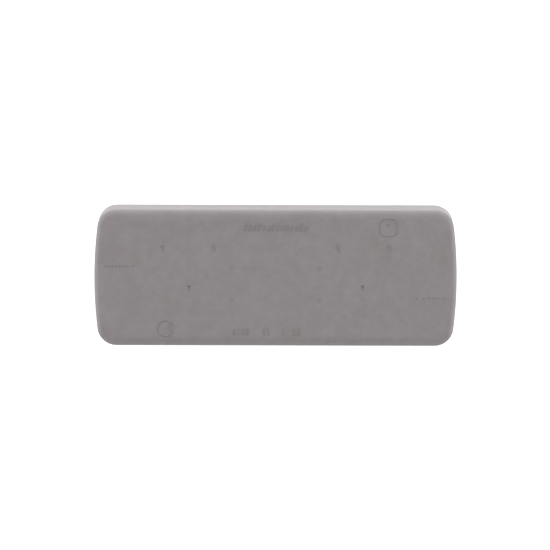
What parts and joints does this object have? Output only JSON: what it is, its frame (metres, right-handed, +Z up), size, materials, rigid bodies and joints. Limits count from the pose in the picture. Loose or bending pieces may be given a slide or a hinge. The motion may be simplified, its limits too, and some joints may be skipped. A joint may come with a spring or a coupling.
{
  "type": "clay bar in storage case",
  "caption": "Flat moulded storage case for detailing clay: lift-off lid with rolled edge over a shallow base, with a tray and pressed clay bars inside.",
  "frame": {"origin": "middle of the case's underside, on the surface it rests on", "axes": "+X along the case, +Y across it, +Z up out of the lid's face"},
  "size_m": [0.18, 0.068, 0.026],
  "materials": {
    "case_shell": "fine spark-eroded matt, mauve grey",
    "seal": "soft matt elastomer, dark grey",
    "tray": "satin thermoplastic, pale grey",
    "clay": "waxy matt putty with pressed edges, grey blue",
    "liner": "milky release film, silky"
  },
  "bodies": {
    "base": {"case_base": "case_shell"},
    "tray": {"inner_tray": "tray", "clay_bar_left": "clay", "clay_bar_right": "clay", "release_liner_left": "liner", "release_liner_right": "liner"},
    "lid": {"case_lid": "case_shell", "lid_seal": "seal"}
  },
  "joints": [
    {"name": "tray_lift", "type": "slide", "parent": "base", "child": "tray", "axis": [0, 0, 1], "range_m": [0, 0.04]},
    {"name": "lid_lift", "type": "slide", "parent": "tray", "child": "lid", "axis": [0, 0, 1], "range_m": [0, 0.06]}
  ]
}
